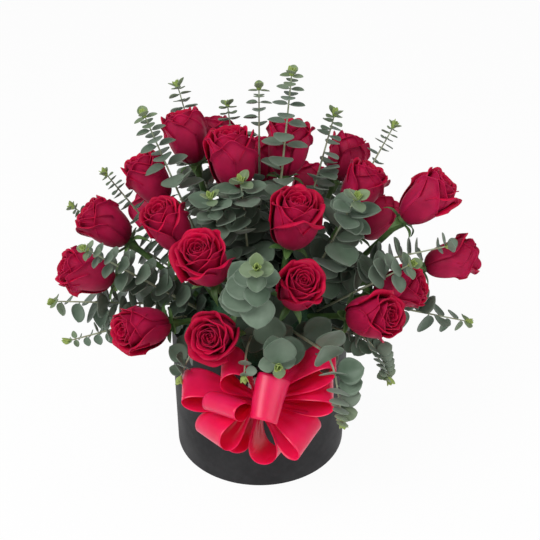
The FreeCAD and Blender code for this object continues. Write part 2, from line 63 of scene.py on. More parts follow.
# Petal shape from the middle of the head to the outermost petal, in units of the head's radius or in degrees,
# and what full openness adds
HEIGHTS = (0.92, 0.98, 1.0, 0.97, 0.92)
OPEN_HEIGHTS = (0.0, 0.0, 0.0, 0.0, -0.14)
LIPS = (0.45, 0.75, 0.92, 1.0, 1.04)
OPEN_LIPS = (0.0, 0.0, 0.0, 0.0, 0.22)
WRAPS = (170, 130, 95, 74, 62)
ROLLS = (6, 18, 36, 58, 80)
OPEN_ROLLS = (0, 0, 0, 35, 50)
ROLL_LENGTHS = (0.04, 0.07, 0.12, 0.21, 0.33)
NO_CHANGE = (0, 0, 0, 0, 0)

# Rose stem, hip and sepals. Levels count from the stem's foot, and on the hip from the head's base.
FOOT_LEVELS = np.array([0.0, 0.02, 0.5]) * MM
HIP_LEVELS = np.array([-14.0, -9.0, -4.0, 1.0]) * MM
ROSE_STEM_RADII = np.array([0.3, 2.6, 2.5, 2.5, 3.6, 5.2, 4.6]) * MM
ROSE_STEM_SIDES = 14
SEPALS = 5
SEPAL_UP = 12
SEPAL_ACROSS = 7
SEPAL_THICKNESS = 0.5 * MM
SEPAL_START = 4.5 * MM
SEPAL_BELOW = 3 * MM
SEPAL_HALF_WIDTH = 3.2 * MM

# Room that a rose keeps free: its pull, and the radii and ends of its stem, calyx and head
ROSE_PULL = 25 * MM
STEM_ROOM = 2.8 * MM
CALYX_ROOM = 11 * MM
CALYX_BELOW = 4 * MM
HEAD_FOOT = 0.7
HEAD_TOP = 0.4

# Eucalyptus leaves and stems
LEAF_ACROSS = 9
LEAF_UP = 13
LEAF_THICKNESS = 0.45 * MM
LEAF_GROWTH = 1.2
YOUNG_SHARE = 0.5
FACING_SHARE = 0.35
HANGING_SLOPE = -0.7
STEM_RADIUS = 1.3 * MM
STEM_TIP_RADIUS = 0.55 * MM
STEM_PITCH = 6 * MM
STEM_RING_GAP = 1.2 * MM
PETIOLE_SHARE = 0.09
TIP_BUDS = 6
BUD_BACK = 2 * MM
SPRIG_SEED = 500

# Leaves in the thick of the bunch, where the CAD leaves room for the roses to move
FILL_STEP = 8 * MM
FILL_TRIES = 5
FILL_CENTRE = np.array([0.0, 0.0, 130 * MM])
FILL_REACH = 150 * MM
# Painted shade on leaves: full at the nearer distance from the middle of the bunch, none beyond the farther.
SHADE_REACH = (60 * MM, 135 * MM)
FILL_SPACING = 8 * MM
FOAM_RADIUS = 66 * MM
FOAM_TOP = 162 * MM
FOAM_SLOPE = 210 * MM
RIM_HEIGHT = 130 * MM
RIM_GAP = 4 * MM
ROSE_GAP = 1 * MM
FILL_SEED = 700
BOW_ROOM = np.array([[-85, -160, 0], [85, -76, 172]]) * MM

# Bow
RIBBON_WIDTH = 36 * MM
RIBBON_THICKNESS = 0.25 * MM
RIBBON_ALONG = 65
RIBBON_ACROSS = 17
RIBBON_FULL_AT = 0.85
GATHERED_SHARE = 0.34
DROP_POWER = 1.5
BOW_HEIGHT = 112 * MM
BOW_WALL = 82 * MM
TIE_RADIUS = 5 * MM
FOOT_HALF_WIDTH = 4 * MM
FOOT_HALF_DEPTH = 0.8 * MM
PLEAT_DEPTH = 1.1 * MM
RIBBON_CUP = 0.6 * MM
RIBBON_RIBS = 260.0
BOW_SEED = 900

# Knot: levels from the wall to the front, radii there, sides and pleats
KNOT_LEVELS = np.array([0.0, 0.03, 0.2, 0.4, 0.6, 0.8, 0.95, 1.0, 1.02])
KNOT_RADII = np.array([0.7, 0.97, 0.98, 0.96, 0.98, 0.97, 0.95, 0.7, 0.1]) * TIE_RADIUS
KNOT_SIDES = 48
KNOT_PLEATS = 9

# Ribbon loops: angle round the tie from +X, lift off the wall, length, opening, twist, and the foot's way
# from the wall, in degrees and millimetres as in the CAD
LOOPS = [
    (168, 0, 58, 17, 0, 18),
    (122, 2, 42, 20, 0, 18),
    (36, 0, 70, 16, 0, 18),
    (8, 2, 56, 18, 0, 18),
    (-26, 28, 44, 20, -22, 26),
    (-73, 24, 42, 24, -16, 18),
    (-122, 4, 40, 20, 0, 18),
    (-163, 36, 42, 20, 0, 25),
    (147, 38, 37, 15, -34, 29),
    (71, 46, 33, 24, 0, 29),
]

# Openness and turn about the stem of each rose, from the photo. A rose that isn't named is half open.
ROSE_LOOKS = {
    "rose_01": (0.15, 20),
    "rose_03": (0.25, 60),
    "rose_05": (0.2, 140),
    "rose_12": (0.95, 15),
    "rose_13": (0.55, 200),
    "rose_14": (0.5, 90),
    "rose_16": (0.75, 300),
}
HALF_OPEN = 0.45

# Floor, world, light and camera
FLOOR_REACH = 6
FLOOR_WHITE = 0.95
WORLD_LIGHT = 0.45
LAMP_TARGET = (0, 0, 0.2)
CAMERA_LENS = 56.67
CAMERA_PLACE = (0.00933, -0.65358, 0.54315)
CAMERA_TILT = math.radians(60.796)


# Mesh helpers

def unit(vector):
    """A vector, or each row of an array of vectors, at length 1."""
    return vector / np.maximum(np.linalg.norm(vector, axis=-1, keepdims=True), 1e-12)


def square_axes(axis):
    """Two unit vectors square to an axis and to each other."""
    helper = UP if abs(axis[2]) < 0.9 else np.array([1.0, 0.0, 0.0])
    first = unit(np.cross(helper, axis))
    return first, np.cross(axis, first)


def grid_faces(rows, columns, first=0):
    """Quads of a grid of points that are numbered row by row."""
    number = first + np.arange(rows * columns).reshape(rows, columns)
    corners = [number[:-1, :-1], number[1:, :-1], number[1:, 1:], number[:-1, 1:]]
    return np.stack(corners, axis=-1).reshape(-1, 4)


def sheet_faces(rows, columns):
    """Quads of a thin sheet with two sides and a closed rim."""
    count = rows * columns
    number = np.arange(count).reshape(rows, columns)
    rim = np.concatenate([number[0, :-1], number[:-1, -1], number[-1, :0:-1], number[:0:-1, 0]])
    following = np.roll(rim, -1)
    edge = np.stack([rim, following, following + count, rim + count], axis=-1)
    back = grid_faces(rows, columns, count)[:, ::-1]
    return np.concatenate([grid_faces(rows, columns), back, edge])


def thick_sheet(points, thickness):
    """Points of both sides of a thin sheet given as a grid of points."""
    along = np.gradient(points, axis=0)
    across = np.gradient(points, axis=1)
    normal = unit(np.cross(along, across))
    half = normal * (thickness / 2)
    return np.concatenate([(points + half).reshape(-1, 3), (points - half).reshape(-1, 3)])


class Surfaces:
    """Collects surfaces and their vertex values, and makes one mesh object of them."""

    def __init__(self):
        self.points = []
        self.faces = []
        self.materials = []
        self.values = []
        self.count = 0

    def add(self, points, faces, values, material=0):
        """Adds one surface. Values are three numbers for each point, read by the materials."""
        self.points.append(points)
        self.faces.append(faces + self.count)
        self.materials.append(np.full(len(faces), material))
        self.values.append(np.broadcast_to(values, (len(points), 3)))
        self.count += len(points)

    def make(self, name, materials):
        """The mesh object, shaded smooth."""
        points = np.concatenate(self.points)
        faces = np.concatenate(self.faces)
        mesh = bpy.data.meshes.new(name)
        mesh.vertices.add(len(points))
        mesh.vertices.foreach_set("co", points.ravel())
        mesh.loops.add(faces.size)
        mesh.loops.foreach_set("vertex_index", faces.ravel())
        mesh.polygons.add(len(faces))
        mesh.polygons.foreach_set("loop_start", np.arange(0, faces.size, 4))
        mesh.polygons.foreach_set("material_index", np.concatenate(self.materials))
        mesh.polygons.foreach_set("use_smooth", np.ones(len(faces), dtype=bool))
        looks = mesh.attributes.new("looks", "FLOAT_VECTOR", "POINT")
        looks.data.foreach_set("vector", np.concatenate(self.values).ravel())
        for material in materials:
            mesh.materials.append(material)
        mesh.update(calc_edges=True)
        mesh.validate()
        piece = bpy.data.objects.new(name, mesh)
        bpy.context.scene.collection.objects.link(piece)
        return piece


def tube(path, radii, sides=8):
    """Points and quads of a tube along a path."""
    path = np.asarray(path)
    along = unit(np.gradient(path, axis=0))
    first, _ = square_axes(along[0])
    rings = []
    for point, way, radius in zip(path, along, radii):
        first = unit(first - way * np.dot(first, way))
        second = np.cross(way, first)
        turn = np.linspace(0, 2 * math.pi, sides, endpoint=False)[:, None]
        rings.append(point + radius * (first * np.cos(turn) + second * np.sin(turn)))
    points = np.concatenate(rings)
    faces = []
    for ring in range(len(path) - 1):
        low = ring * sides + np.arange(sides)
        high = low + sides
        faces.append(np.stack([low, np.roll(low, -1), np.roll(high, -1), high], axis=-1))
    return points, np.concatenate(faces)


def solids_of(node):
    """The separate solids of a CAD node, each as its points and their normals."""
    mesh = frame["nodes"][node].data
    points = np.empty(len(mesh.vertices) * 3)
    mesh.vertices.foreach_get("co", points)
    points = points.reshape(-1, 3)
    normals = np.empty(len(mesh.vertices) * 3)
    mesh.vertices.foreach_get("normal", normals)
    normals = normals.reshape(-1, 3)
    edges = np.empty(len(mesh.edges) * 2, dtype=np.int64)
    mesh.edges.foreach_get("vertices", edges)
    _, weld = np.unique(np.round(points * 1e6).astype(np.int64), axis=0, return_inverse=True)
    weld = weld.ravel()
    ends = weld[edges.reshape(-1, 2)]
    label = np.arange(weld.max() + 1)
    while True:
        lowest = label.copy()
        joined = np.minimum(label[ends[:, 0]], label[ends[:, 1]])
        np.minimum.at(lowest, ends[:, 0], joined)
        np.minimum.at(lowest, ends[:, 1], joined)
        if (lowest == label).all():
            break
        label = lowest
    group = label[weld]
    return [(points[group == name], normals[group == name]) for name in np.unique(group)]


def extents(points):
    """Middle, principal axes from the longest to the shortest, and the sizes along them."""
    middle = (points.max(axis=0) + points.min(axis=0)) / 2
    _, _, axes = np.linalg.svd(points - points.mean(axis=0), full_matrices=False)
    reach = (points - middle) @ axes.T
    size = reach.max(axis=0) - reach.min(axis=0)
    middle = middle + ((reach.max(axis=0) + reach.min(axis=0)) / 2) @ axes
    order = np.argsort(-size)
    return middle, axes[order], size[order]


# Materials

def add_node(tree, kind, values=None, links=None, **settings):
    """A shader node with its settings, values and incoming links."""
    node = tree.nodes.new(kind)
    for key, value in settings.items():
        setattr(node, key, value)
    for key, value in (values or {}).items():
        node.inputs[key].default_value = value
    for key, source in (links or {}).items():
        tree.links.new(source, node.inputs[key])
    return node


def new_material(name, values):
    """A Principled material with constant values set on its shader."""
    material = bpy.data.materials.new(name)
    material.use_nodes = True
    tree = material.node_tree
    shader = tree.nodes["Principled BSDF"]
    for key, value in values.items():
        shader.inputs[key].default_value = value
    return material, tree, shader


def mix_colour(tree, share, first, second):
    """Colour output of a mix of two colours or colour outputs."""
    node = tree.nodes.new("ShaderNodeMix")
    node.data_type = "RGBA"
    inputs = ((node.inputs["Factor"], share), (node.inputs[6], first), (node.inputs[7], second))
    for socket, value in inputs:
        if isinstance(value, bpy.types.NodeSocket):
            tree.links.new(value, socket)
        else:
            socket.default_value = value
    return node.outputs[2]


def ramp(tree, source, low, high, to_low=0.0, to_high=1.0):
    """A value mapped from one range to another and clamped."""
    node = add_node(
        tree,
        "ShaderNodeMapRange",
        {"From Min": low, "From Max": high, "To Min": to_low, "To Max": to_high},
        {"Value": source},
    )
    return node.outputs["Result"]


def looks_values(tree):
    """The three vertex values that a mesh carries."""
    attribute = add_node(tree, "ShaderNodeAttribute", attribute_name="looks")
    split = add_node(tree, "ShaderNodeSeparateXYZ", None, {"Vector": attribute.outputs["Vector"]})
    return split.outputs["X"], split.outputs["Y"], split.outputs["Z"]


def noise(tree, scale, detail=3.0, vector=None):
    """Value of a noise texture in object space, or in a given space."""
    if vector is None:
        vector = add_node(tree, "ShaderNodeTexCoord").outputs["Object"]
    node = add_node(tree, "ShaderNodeTexNoise", {"Scale": scale, "Detail": detail}, {"Vector": vector})
    return node.outputs["Fac"]


def bump(tree, shader, height, strength, distance):
    """Bump of a height on a shader's normal."""
    values = {"Strength": strength, "Distance": distance}
    node = add_node(tree, "ShaderNodeBump", values, {"Height": height})
    tree.links.new(node.outputs["Normal"], shader.inputs["Normal"])


def petal_material():
    """Velvet red inside, pinker outside, mottled, with a fine grain, and painted shade that darkens the foot
    of each petal deep in the head.
    """
    material, tree, shader = new_material(
        "rose_petal",
        {
            "Roughness": 0.55,
            "Sheen Weight": 0.16,
            "Sheen Roughness": 0.4,
            "Sheen Tint": (1.0, 0.2, 0.35, 1.0),
            "Specular IOR Level": 0.18,
            "Subsurface Weight": 0.2,
            "Subsurface Radius": (1.0, 0.1, 0.2),
            "Subsurface Scale": 0.001,
        },
    )
    height, outside, tone = looks_values(tree)
    inside_red = (0.62, 0.0, 0.050, 1.0)
    outside_red = (0.57, 0.010, 0.082, 1.0)
    # deep_red is the petal's own darkest red for its mottle and random tone, and also the painted shade at
    # its foot.
    deep_red = (0.11, 0.0, 0.012, 1.0)
    face = mix_colour(tree, ramp(tree, outside, 0.3, 0.7), inside_red, outside_red)
    # Painted shade: from near the lip down to the foot, deep between the other petals, each petal darkens
    # towards deep red.
    foot = ramp(tree, height, 0.05, 0.8, 0.7, 0.0)
    colour = mix_colour(tree, foot, face, deep_red)
    mottle = ramp(tree, noise(tree, 90.0), 0.35, 0.7, 0.0, 0.35)
    colour = mix_colour(tree, mottle, colour, deep_red)
    colour = mix_colour(tree, ramp(tree, tone, 0.0, 1.0, 0.0, 0.3), colour, deep_red)
    tree.links.new(colour, shader.inputs["Base Color"])
    bump(tree, shader, noise(tree, 900.0, 2.0), 0.15, 0.0004)
    return material


def leaf_material():
    """Waxy grey-green leaf, paler beneath and yellow-green at the sprig's tip, with painted shade darkening
    it towards the middle of the bunch.
    """
    material, tree, shader = new_material(
        "eucalyptus_leaf",
        {"Roughness": 0.5, "Sheen Weight": 0.15, "Sheen Roughness": 0.5, "Specular IOR Level": 0.35},
    )
    youth, top, tone = looks_values(tree)
    old_green_and_painted_shade = (0.070, 0.115, 0.074, 1.0)
    bloom_green = (0.215, 0.285, 0.212, 1.0)
    under_green = (0.230, 0.275, 0.215, 1.0)
    young_green = (0.300, 0.400, 0.100, 1.0)
    painted_shade_green = (0.020, 0.036, 0.022, 1.0)
    colour = mix_colour(tree, ramp(tree, noise(tree, 45.0), 0.3, 0.7), old_green_and_painted_shade, bloom_green)
    # A leaf's tone darkens it towards old green: at random, and as painted shade for leaves deep in the
    # bunch, whose tone carries that shade too.
    colour = mix_colour(tree, ramp(tree, tone, 0.0, 1.0, 0.0, 0.7), colour, old_green_and_painted_shade)
    colour = mix_colour(tree, ramp(tree, top, 0.3, 0.7, 0.6, 0.0), colour, under_green)
    # Painted shade: tone above 1, set by a leaf's place deep in the bunch, darkens it further towards
    # near-black green.
    colour = mix_colour(tree, ramp(tree, tone, 1.0, 2.0, 0.0, 0.75), colour, painted_shade_green)
    colour = mix_colour(tree, youth, colour, young_green)
    tree.links.new(colour, shader.inputs["Base Color"])
    bump(tree, shader, noise(tree, 500.0, 3.0), 0.2, 0.0004)
    return material


def stem_material(name, pale, dark):
    """Green stem with streaks."""
    material, tree, shader = new_material(name, {"Roughness": 0.5})
    colour = mix_colour(tree, ramp(tree, noise(tree, 120.0), 0.3, 0.7), pale, dark)
    tree.links.new(colour, shader.inputs["Base Color"])
    bump(tree, shader, noise(tree, 700.0), 0.2, 0.0004)
    return material


def ribbon_material():
    """Glossy red ribbon with fine ribs along it, which lets some light through."""
    material, tree, shader = new_material(
        "red_ribbon",
        {
            "Roughness": 0.36,
            "Specular IOR Level": 0.42,
            "Subsurface Weight": 0.6,
            "Subsurface Radius": (1.0, 0.12, 0.40),
            "Subsurface Scale": 0.0015,
        },
    )
    _, across, _ = looks_values(tree)
    red = (0.92, 0.012, 0.105, 1.0)
    deep = (0.80, 0.006, 0.075, 1.0)
    colour = mix_colour(tree, ramp(tree, noise(tree, 60.0), 0.35, 0.7), red, deep)
    tree.links.new(colour, shader.inputs["Base Color"])
    rib = add_node(tree, "ShaderNodeMath", {1: RIBBON_RIBS}, {0: across}, operation="MULTIPLY")
    wave = add_node(tree, "ShaderNodeMath", None, {0: rib.outputs[0]}, operation="SINE")
    bump(tree, shader, wave.outputs[0], 0.05, 0.0002)
    return material


def paper_material():
    """Matte black paper with greyer patches and a fine grain."""
    material, tree, shader = new_material("black_paper", {"Specular IOR Level": 0.32})
    black = (0.0070, 0.0066, 0.0080, 1.0)
    grey = (0.0125, 0.0118, 0.0138, 1.0)
    colour = mix_colour(tree, ramp(tree, noise(tree, 160.0, 6.0), 0.4, 0.65), black, grey)
    tree.links.new(colour, shader.inputs["Base Color"])
    tree.links.new(ramp(tree, noise(tree, 25.0), 0.3, 0.7, 0.5, 0.68), shader.inputs["Roughness"])
    bump(tree, shader, noise(tree, 1400.0, 4.0), 0.25, 0.0003)
    return material


def grain_material(name, first, second, scale, roughness, depth):
    """Two-colour grain with bump, for board, foam, liner and pad."""
    material, tree, shader = new_material(name, {"Roughness": roughness})
    grain = noise(tree, scale, 5.0)
    colour = mix_colour(tree, ramp(tree, grain, 0.35, 0.65), first, second)
    tree.links.new(colour, shader.inputs["Base Color"])
    bump(tree, shader, grain, 0.5, depth)
    return material


PETAL = petal_material()
LEAF = leaf_material()
ROSE_STEM = stem_material("rose_stem", (0.10, 0.19, 0.05, 1.0), (0.05, 0.12, 0.03, 1.0))
LEAF_STEM = stem_material("eucalyptus_stem", (0.42, 0.48, 0.34, 1.0), (0.24, 0.25, 0.14, 1.0))
RIBBON = ribbon_material()
PAPER = paper_material()
BOARD = grain_material("board", (0.30, 0.26, 0.21, 1.0), (0.22, 0.19, 0.15, 1.0), 300.0, 0.8, 0.0003)
LINER = grain_material(
    "liner_plastic", (0.045, 0.045, 0.045, 1.0), (0.06, 0.06, 0.06, 1.0), 80.0, 0.4, 0.0001
)
# Foam: its own green made darker still, as painted shade down under the leaves.
FOAM = grain_material(
    "wet_foam", (0.015, 0.055, 0.025, 1.0), (0.035, 0.10, 0.045, 1.0), 700.0, 0.85, 0.0012
)
PAD = grain_material("adhesive_foam", (0.80, 0.80, 0.78, 1.0), (0.70, 0.70, 0.68, 1.0), 900.0, 0.8, 0.0003)


# Roses

def between(place, stops, opened=NO_CHANGE, openness=0.0):
    """Value at a place from 0 to 1 between evenly spaced stops, with what openness adds to them."""
    values = np.array(stops) + openness * np.array(opened)
    return float(np.interp(place, np.linspace(0, 1, len(values)), values))


# Capsules (start, end, radius) that the roses fill at rest and while they are pulled
ROSE_ROOM = []


def meridian(share, radius, lip, height):
    """Point and direction angle on a petal's middle line, at shares of its way up."""
    corners = np.array(
        [[0.05, 0.0], [0.95 * radius, 0.02 * height], [1.20 * radius, 0.42 * height], [lip, height]]
    )
    rest = 1 - share
    weights = [rest ** 3, 3 * rest ** 2 * share, 3 * rest * share ** 2, share ** 3]
    slopes = [
        -3 * rest ** 2,
        3 * rest ** 2 - 6 * rest * share,
        6 * rest * share - 3 * share ** 2,
        3 * share ** 2,
    ]
    point = sum(weight[..., None] * corner for weight, corner in zip(weights, corners))
    slope = sum(weight[..., None] * corner for weight, corner in zip(slopes, corners))
    return point, np.arctan2(slope[..., 1], slope[..., 0])


def petal_points(place, openness, tall, luck):
    """Grid of points of one petal in units of the head's radius, place 0 at the middle and 1 outermost."""
    upward = np.linspace(0, 1, PETAL_UP)[:, None]
    side = np.linspace(-1, 1, PETAL_ACROSS)[None, :]
    outer = max(0.0, (place - OUTER_FROM) / (1 - OUTER_FROM))
    stand = 1 + outer * luck.uniform(-0.5, 0.6)
    radius = 0.08 + 0.68 * place ** (0.95 - 0.2 * openness)
    height = tall * between(place, HEIGHTS, OPEN_HEIGHTS, openness)
    lip = radius * (between(place, LIPS, OPEN_LIPS, openness) + 0.10 * outer * (stand - 1))
    wrap = math.radians(between(place, WRAPS))
    roll = math.radians(between(place, ROLLS, OPEN_ROLLS, openness)) * stand
    roll_length = between(place, ROLL_LENGTHS) * (0.75 + 0.5 * openness)
    round_edge = 0.24 * np.abs(side) ** 2.4
    point_edge = 0.17 * np.abs(side) ** 1.25 + 0.12 * np.abs(side) ** 4
    rounding = round_edge + outer * (point_edge - round_edge) + luck.uniform(-0.02, 0.02) * side
    body = np.minimum(upward / LIP_STARTS, 1.0) * (1 - rounding)
    point, angle = meridian(body, radius, lip, height)
    curl = np.maximum(0.0, (upward - LIP_STARTS) / (1 - LIP_STARTS))
    turn = roll * (0.6 + 0.5 * np.sin(math.pi * np.minimum(1.0, 1.15 * np.abs(side))) ** 2) + 0.01
    turn = turn * luck.uniform(0.75, 1.2)
    bend = roll_length / turn
    out = point[..., 0] + bend * (np.sin(angle) - np.sin(angle - turn * curl))
    rise = point[..., 1] + bend * (np.cos(angle - turn * curl) - np.cos(angle))
    out = out + 0.05 * (0.3 + place) * side * np.ones_like(upward)
    out = out + place * 0.04 * np.abs(side) ** 4 * upward
    wave = luck.uniform(0, 2 * math.pi)
    out = out + (0.010 + 0.022 * place) * np.sin(2.6 * math.pi * side + wave) * upward ** 3
    rise = rise + 0.03 * np.sin(1.7 * math.pi * side + wave) * upward ** 3
    spread = side * wrap * (1 + 0.0 * upward)
    return np.stack([out * np.cos(spread), out * np.sin(spread), rise], axis=-1)


def rose_head(node):
    """Axis, base, radius and height of a CAD rose's head, and the foot of its stem."""
    axis = unit(np.array(JOINT_AXES[node + "_pull"]))
    solids = [points for points, _ in solids_of(node)]
    levels = [points @ axis for points in solids]
    order = np.argsort([level.min() for level in levels])
    stem, calyx = order[0], order[1]
    petals = np.concatenate([points for number, points in enumerate(solids) if number not in (stem, calyx)])
    middle = extents(solids[stem])[0]
    level = petals @ axis
    base = middle + axis * (level.min() - middle @ axis)
    spokes = petals - base
    spokes = spokes - np.outer(spokes @ axis, axis)
    foot = middle + axis * (levels[stem].min() - middle @ axis)
    return axis, base, np.linalg.norm(spokes, axis=1).max(), level.max() - level.min(), foot


def head_petals(openness, turned, tall, luck):
    """Petals of a head in units of its radius, scaled to a widest lip of 1 and to the head's height."""
    petals = []
    for petal in range(PETALS):
        points = petal_points(petal / (PETALS - 1), openness, tall, luck)
        angle = math.radians(turned) + petal * GOLDEN_ANGLE + luck.uniform(-0.15, 0.15)
        cosine, sine = math.cos(angle), math.sin(angle)
        spin = np.array([[cosine, sine, 0], [-sine, cosine, 0], [0, 0, 1]])
        petals.append(points @ spin)
    petals = np.stack(petals)
    widest = np.hypot(petals[..., 0], petals[..., 1]).max()
    return petals * np.array([1 / widest, 1 / widest, tall / petals[..., 2].max()])


def make_rose(node, number):
    """Petals, and stem with its hip and sepals, of one rose."""
    axis, base, radius, height, foot = rose_head(node)
    openness, turned = ROSE_LOOKS.get(node, (HALF_OPEN, 47 * number))
    luck = np.random.default_rng(ROSE_SEED + number)
    across, other = square_axes(axis)
    head = np.stack([across, other, axis])
    petals = Surfaces()
    faces = sheet_faces(PETAL_UP, PETAL_ACROSS)
    up_share = np.repeat(np.linspace(0, 1, PETAL_UP), PETAL_ACROSS)
    count = PETAL_UP * PETAL_ACROSS
    for local in head_petals(openness, turned, height / radius, luck):
        both = thick_sheet(base + (local * radius) @ head, PETAL_THICKNESS)
        values = np.zeros((2 * count, 3))
        values[:, 0] = np.tile(up_share, 2)
        values[count:, 1] = 1.0
        values[:, 2] = luck.uniform(0, 1)
        petals.add(both, faces, values)
    piece = petals.make(node + "_petals", [PETAL])
    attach(piece, node + "_flower")
    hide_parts(node)
    green = make_rose_stem(node, axis, base, foot, head, luck)
    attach(green, node + "_flower")
    top = base + axis * (height + ROSE_PULL - HEAD_TOP * radius)
    ROSE_ROOM.append((foot, base, STEM_ROOM))
    ROSE_ROOM.append((base - axis * CALYX_BELOW, base + axis * ROSE_PULL, CALYX_ROOM))
    ROSE_ROOM.append((base + axis * (HEAD_FOOT * radius), top, radius))


def make_rose_stem(node, axis, base, foot, head, luck):
    """Stem with a swollen hip and reflexed sepals."""
    green = Surfaces()
    length = np.linalg.norm(base - foot)
    levels = np.concatenate([FOOT_LEVELS, length + HIP_LEVELS])
    points, faces = tube(foot + np.outer(levels, axis), ROSE_STEM_RADII, ROSE_STEM_SIDES)
    green.add(points, faces, (0.0, 0.0, 0.0))
    along = np.linspace(0, 1, SEPAL_UP)[:, None]
    side = np.linspace(-1, 1, SEPAL_ACROSS)[None, :]
    for sepal in range(SEPALS):
        angle = 2 * math.pi * (sepal + luck.uniform(-0.15, 0.15)) / SEPALS
        reach = luck.uniform(15, 22) * MM
        drop = luck.uniform(-0.2, 0.9)
        out = SEPAL_START + reach * np.sin(1.3 * along) / 1.3
        rise = -SEPAL_BELOW + reach * (0.25 * along - drop * along ** 2.2)
        breadth = SEPAL_HALF_WIDTH * (1 - along) ** 0.7 * (0.75 + 0.5 * np.sin(math.pi * along))
        x = out * np.ones_like(side)
        y = breadth * side
        z = rise + 0.35 * breadth * side ** 2
        cosine, sine = math.cos(angle), math.sin(angle)
        local = np.stack([x * cosine - y * sine, x * sine + y * cosine, z], axis=-1)
        both = thick_sheet(base + local @ head, SEPAL_THICKNESS)
        green.add(both, sheet_faces(SEPAL_UP, SEPAL_ACROSS), (0.0, 0.0, 0.0))
    return green.make(node + "_stem", [ROSE_STEM])


# Eucalyptus

def leaf_outline(share):
    """Half breadth of a leaf at shares of its length, petiole first, with 1 at the broadest."""
    blade = np.clip((share - PETIOLE_SHARE) / (1 - PETIOLE_SHARE), 0.0, 1.0)
    return np.maximum(0.06, np.sin(math.pi * blade ** 0.86) ** 0.62) * np.where(share > 0.999, 0.25, 1.0)


def leaf_points(foot, tip, normal, breadth, luck):
    """Grid of points of one leaf from its foot on the stem to its tip."""
    along = tip - foot
    length = np.linalg.norm(along)
    along = along / length
    across = unit(np.cross(normal, along))
    normal = np.cross(along, across)
    share = np.linspace(0, 1, LEAF_UP)[:, None]
    side = np.linspace(-1, 1, LEAF_ACROSS)[None, :]
    width = breadth / 2 * leaf_outline(share) * side
    cup = luck.uniform(0.05, 0.22) * breadth
    curl = luck.uniform(-0.10, 0.06) * length
    tilt = luck.uniform(-0.08, 0.08)
    rise = cup * (side ** 2 - 0.35) * leaf_outline(share) + curl * share ** 2 + tilt * width
    rise = rise - 0.02 * length * np.exp(-(side / 0.12) ** 2) * leaf_outline(share)
    rise = rise * np.clip(share * 4, 0, 1)
    return (
        foot
        + along * (share * length)[..., None]
        + across * width[..., None]
        + normal * rise[..., None]
    )


def stem_line(points, normals):
    """Points along the middle of a CAD stem, its foot in the foam first."""
    middle = points - normals * STEM_RADIUS
    chord = extents(points)[1][0]
    level = middle @ chord
    order = np.argsort(level)
    steps = np.split(order, np.nonzero(np.diff(level[order]) > STEM_RING_GAP)[0] + 1)
    line = np.array([middle[step].mean(axis=0) for step in steps])
    if np.hypot(*line[0][:2]) > np.hypot(*line[-1][:2]):
        line = line[::-1]
    return line


def nearest_on(line, point):
    """Nearest point of a line of points, its share of the way along, and the line's direction there."""
    run = np.diff(line, axis=0)
    share = np.clip(((point - line[:-1]) * run).sum(axis=1) / (run ** 2).sum(axis=1), 0, 1)
    spots = line[:-1] + run * share[:, None]
    best = np.argmin(np.linalg.norm(spots - point, axis=1))
    lengths = np.linalg.norm(run, axis=1)
    way = (lengths[:best].sum() + share[best] * lengths[best]) / lengths.sum()
    return spots[best], way, unit(run[best])


def add_leaf(green, points, youth, tone, faces):
    """Adds one leaf with its looks to a mesh, with painted shade that darkens it towards the middle of the
    bunch.
    """
    both = thick_sheet(points, LEAF_THICKNESS)
    # Painted shade: the nearer the leaf lies to the middle of the bunch, the more is added to its tone, up to
    # 1.
    way_out = np.linalg.norm(points.mean(axis=(0, 1)) - FILL_CENTRE)
    tone = tone + float(np.interp(way_out, SHADE_REACH, (1.0, 0.0)))
    count = LEAF_UP * LEAF_ACROSS
    values = np.zeros((2 * count, 3))
    values[:, 0] = youth
    values[:count, 1] = 1.0
    values[:, 2] = tone
    green.add(both, faces, values)


def between_leaves(line, leaves):
    """A leaf between each two neighbours on the same side of a hanging stem, half way in place and size."""
    side = np.cross(line[-1] - line[0], leaves[0][2])
    added = []
    for sign in (1, -1):
        row = [leaf for leaf in leaves if sign * np.dot(leaf[1] - leaf[0], side) > 0]
        row.sort(key=lambda leaf: nearest_on(line, leaf[0])[1])
        for first, second in zip(row[:-1], row[1:]):
            foot, tip, normal, breadth, youth = ((one + other) / 2 for one, other in zip(first, second))
            if np.dot(first[2], second[2]) < 0:
                normal = (first[2] - second[2]) / 2
            added.append((foot, tip, normal, breadth, youth))
    return added


def read_sprig(node):
    """A CAD sprig's stem line, leaves (foot, tip, normal, breadth, youth) and largest leaf's length."""
    solids = solids_of(node)
    sizes = [extents(points)[2][0] for points, _ in solids]
    stem = int(np.argmax(sizes))
    line = stem_line(*solids[stem])
    largest = max(size for place, size in enumerate(sizes) if place != stem)
    leaves = []
    for place, (points, _) in enumerate(solids):
        if place == stem:
            continue
        middle, axes, size = extents(points)
        foot, _, stem_way = nearest_on(line, middle)
        face = np.dot(axes[2], stem_way)
        face = face if abs(face) > FACING_SHARE else axes[2][2]
        normal = axes[2] if face > 0 else -axes[2]
        tip = middle + unit(middle - foot) * (size[0] / 2 * LEAF_GROWTH)
        youth = max(0.0, 1.0 - size[0] / (YOUNG_SHARE * largest))
        leaves.append((foot, tip, normal, size[1] * LEAF_GROWTH, youth))
    if unit(line[-1] - line[-2])[2] < HANGING_SLOPE:
        leaves = leaves + between_leaves(line, leaves)
    return line, leaves, largest


def resampled(line, step):
    """Points along a line at a step, and their shares of its length."""
    lengths = np.concatenate([[0], np.cumsum(np.linalg.norm(np.diff(line, axis=0), axis=1))])
    count = max(2, int(round(lengths[-1] / step)) + 1)
    share = np.linspace(0, 1, count)
    way = share * lengths[-1]
    points = np.stack([np.interp(way, lengths, column) for column in line.T], axis=-1)
    return points, share


